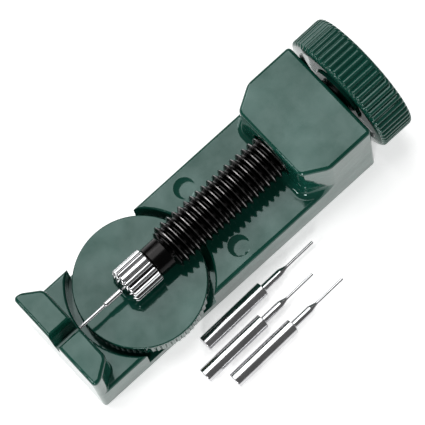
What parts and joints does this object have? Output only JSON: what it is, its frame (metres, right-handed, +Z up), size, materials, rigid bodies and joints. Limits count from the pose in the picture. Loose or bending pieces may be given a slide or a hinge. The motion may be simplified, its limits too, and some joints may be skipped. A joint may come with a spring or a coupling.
{
  "type": "watch bracelet link pin remover",
  "caption": "Bench-top link pin remover: a knurled screw drives a push pin over a round height-adjustable table to a notched anvil, with loose spare pins beside it.",
  "frame": {"origin": "middle of the flat underside of the tool", "axes": "+X along the feed screw from the anvil to the knob, +Z up, spare pins on the -Y side"},
  "size_m": [0.0962, 0.0484, 0.034],
  "materials": {
    "green_plastic": "glossy dark green moulded plastic",
    "black_plastic": "matt black moulded plastic",
    "black_steel": "black oxide steel, oiled",
    "chrome": "bright chrome plate",
    "pin_steel": "turned and ground steel",
    "screw_steel": "zinc plated steel",
    "brass": "turned brass"
  },
  "bodies": {
    "base": {"body_shell": "green_plastic", "base_cover": "black_plastic", "spindle_nut": "brass", "table_nut": "brass", "cover_screw_1": "screw_steel", "cover_screw_2": "screw_steel", "cover_screw_3": "screw_steel", "cover_screw_4": "screw_steel"},
    "feed": {"push_pin": "pin_steel"},
    "screw": {"spindle": "black_steel", "knob": "green_plastic", "knob_washer": "screw_steel", "knob_screw": "screw_steel"},
    "chuck": {"chuck_nut": "chrome"},
    "table_post": {"table_screw": "brass"},
    "table": {"table_disc": "green_plastic"},
    "spare_1": {"spare_pin_1": "pin_steel"},
    "spare_2": {"spare_pin_2": "pin_steel"},
    "spare_3": {"spare_pin_3": "pin_steel"}
  },
  "joints": [
    {"name": "screw_feed", "type": "slide", "parent": "base", "child": "feed", "axis": [-1, 0, 0], "range_m": [-0.03, 0.0012]},
    {"name": "screw_turn", "type": "hinge", "parent": "feed", "child": "screw", "pos_m": [0, 0, 0.018], "axis": [-1, 0, 0], "range_deg": [-6005, 245]},
    {"name": "chuck_release", "type": "slide", "parent": "screw", "child": "chuck", "axis": [-1, 0, 0], "range_m": [0, 0.0075]},
    {"name": "table_lift", "type": "slide", "parent": "base", "child": "table_post", "axis": [0, 0, 1], "range_m": [-0.0025, 0]},
    {"name": "table_turn", "type": "hinge", "parent": "table_post", "child": "table", "pos_m": [-0.018, 0, 0], "axis": [0, 0, 1], "range_deg": [-895, 0]},
    {"name": "spare_pin_1_lift", "type": "slide", "parent": "base", "child": "spare_1", "axis": [0, 0, 1], "range_m": [0, 0.04]},
    {"name": "spare_pin_2_lift", "type": "slide", "parent": "base", "child": "spare_2", "axis": [0, 0, 1], "range_m": [0, 0.04]},
    {"name": "spare_pin_3_lift", "type": "slide", "parent": "base", "child": "spare_3", "axis": [0, 0, 1], "range_m": [0, 0.04]}
  ],
  "couplings": [
    {"joint": "screw_turn", "follows": "screw_feed", "rad_per_m": 3490.7},
    {"joint": "table_lift", "follows": "table_turn", "m_per_rad": 0.00015915}
  ]
}
